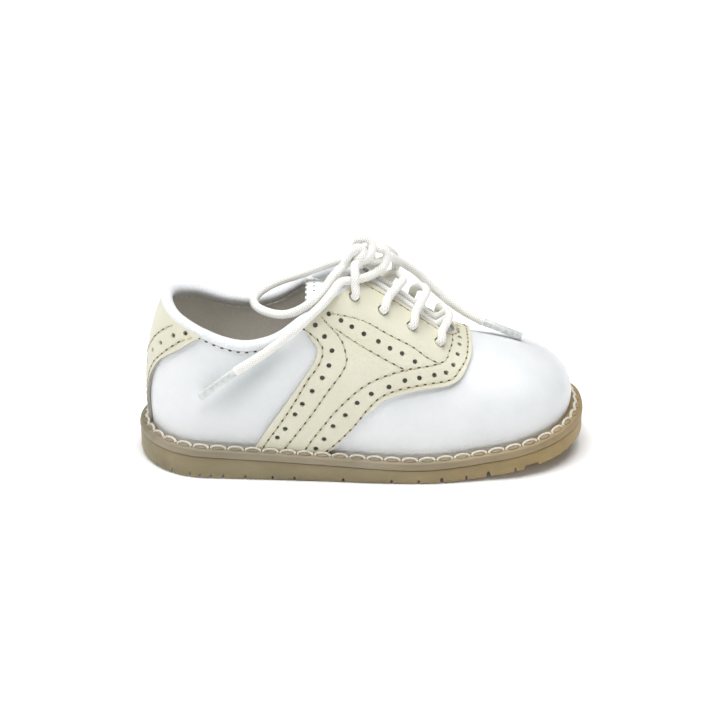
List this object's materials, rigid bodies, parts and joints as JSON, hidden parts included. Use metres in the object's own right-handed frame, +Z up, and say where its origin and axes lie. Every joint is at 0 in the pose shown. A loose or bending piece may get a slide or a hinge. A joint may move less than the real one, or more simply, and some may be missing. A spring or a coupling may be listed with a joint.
{
  "type": "saddle shoe",
  "caption": "Toddler's lace-up saddle shoe for the right foot: white leather upper, cream saddle and heel counter with punched edges, stitched welt and rubber sole.",
  "frame": {"origin": "on the floor, under the middle of the sole's box", "axes": "+X to the toe, +Y to the inner side of the right foot, +Z up"},
  "size_m": [0.142, 0.059, 0.0727],
  "materials": {
    "white_leather": "smooth white leather, soft gloss",
    "cream_leather": "fine-grained cream leather, satin",
    "tan_rubber": "tan crepe-like rubber, satin",
    "lining": "taupe-grey lining, matte",
    "white_binding": "white folded binding, matte",
    "lace_textile": "ivory braided cord, matte",
    "aglet_plastic": "pale grey plastic, glossy"
  },
  "bodies": {
    "root": {"outsole": "tan_rubber", "welt": "tan_rubber", "insole": "lining", "upper": "white_leather", "saddle": "cream_leather", "counter": "cream_leather", "collar_binding": "white_binding", "tongue": "white_leather", "lace_bar_1": "lace_textile", "lace_bar_2": "lace_textile", "lace_bar_3": "lace_textile", "lace_bar_4": "lace_textile", "lace_knot": "lace_textile", "lace_loop_near": "lace_textile", "lace_loop_far": "lace_textile", "lace_end_near": "lace_textile", "lace_end_far": "lace_textile", "aglet_near": "aglet_plastic", "aglet_far": "aglet_plastic"}
  },
  "joints": []
}
